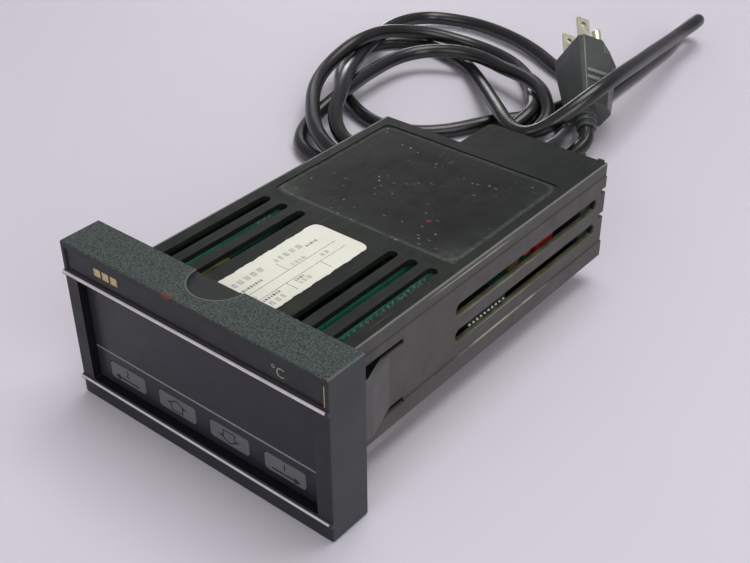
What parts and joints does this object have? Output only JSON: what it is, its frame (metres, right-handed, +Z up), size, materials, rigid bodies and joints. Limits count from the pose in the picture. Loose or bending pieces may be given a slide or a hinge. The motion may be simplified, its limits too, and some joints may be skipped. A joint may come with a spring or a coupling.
{
  "type": "panel-mount process controller",
  "caption": "Panel-mount process controller: wide bezel with smoked window and set-point keys, vented snap-in case with boards inside, rear terminals, and a mains cord with a grounded plug.",
  "frame": {"origin": "under the middle of the controller's box, level with the foot of the bezel; the cord and plug are not counted", "axes": "+X to the right seen from the front, +Y from the front to the rear terminals, +Z up"},
  "size_m": [0.2387, 0.4117, 0.0612],
  "materials": {
    "bezel": "matt, fine grain",
    "strip": "smooth",
    "overlay": "satin, smoked",
    "key": "satin",
    "plunger": "matt",
    "switch": "matt",
    "board": "satin",
    "digits": "gloss",
    "case": "satin, fine grain",
    "paper": "matt paper",
    "connector": "matt",
    "chip": "matt",
    "yellow": "satin",
    "brown": "satin",
    "orange": "satin",
    "red": "gloss",
    "can": "satin sleeve",
    "relay": "satin",
    "core": "laminated",
    "winding": "tape wrapped",
    "terminal": "matt",
    "brass": "dull",
    "steel": "plated",
    "cord": "soft sheen",
    "prong": "dull plated"
  },
  "bodies": {
    "controller": {"bezel": "bezel", "brown_capacitor": "brown", "case": "case", "cord_coil": "cord", "cord_lead": "cord", "cord_tail": "cord", "digit_module": "digits", "display_board": "board", "display_board_screws": "steel", "down_key_switch": "switch", "front_overlay": "overlay", "ground_pin": "prong", "left_board": "board", "left_board_connector": "connector", "logic_chip_1": "chip", "logic_chip_2": "chip", "logic_chip_3": "chip", "middle_board": "board", "middle_board_connector": "connector", "next_key_switch": "switch", "orange_varistor": "orange", "output_relay_1": "relay", "output_relay_2": "relay", "paper_label": "paper", "pin_header": "connector", "plug_blade_left": "prong", "plug_blade_right": "prong", "plug_body": "cord", "power_board": "board", "power_terminals": "terminal", "red_film_capacitor": "red", "return_key_switch": "switch", "right_board": "board", "right_board_connector": "connector", "signal_terminals": "terminal", "smoothing_capacitor": "can", "strain_relief": "cord", "terminal_clamps": "brass", "terminal_screws": "steel", "title_strip": "strip", "transformer_coil": "winding", "transformer_core": "core", "up_key_switch": "switch", "yellow_capacitor": "yellow"},
    "return_key": {"return_key": "key", "return_key_plunger": "plunger"},
    "up_key": {"up_key": "key", "up_key_plunger": "plunger"},
    "down_key": {"down_key": "key", "down_key_plunger": "plunger"},
    "next_key": {"next_key": "key", "next_key_plunger": "plunger"}
  },
  "joints": [
    {"name": "return_key_press", "type": "slide", "parent": "controller", "child": "return_key", "axis": [0, 1, 0], "range_m": [0, 0.0005], "stiffness_N_per_m": 1500},
    {"name": "up_key_press", "type": "slide", "parent": "controller", "child": "up_key", "axis": [0, 1, 0], "range_m": [0, 0.0005], "stiffness_N_per_m": 1500},
    {"name": "down_key_press", "type": "slide", "parent": "controller", "child": "down_key", "axis": [0, 1, 0], "range_m": [0, 0.0005], "stiffness_N_per_m": 1500},
    {"name": "next_key_press", "type": "slide", "parent": "controller", "child": "next_key", "axis": [0, 1, 0], "range_m": [0, 0.0005], "stiffness_N_per_m": 1500}
  ]
}
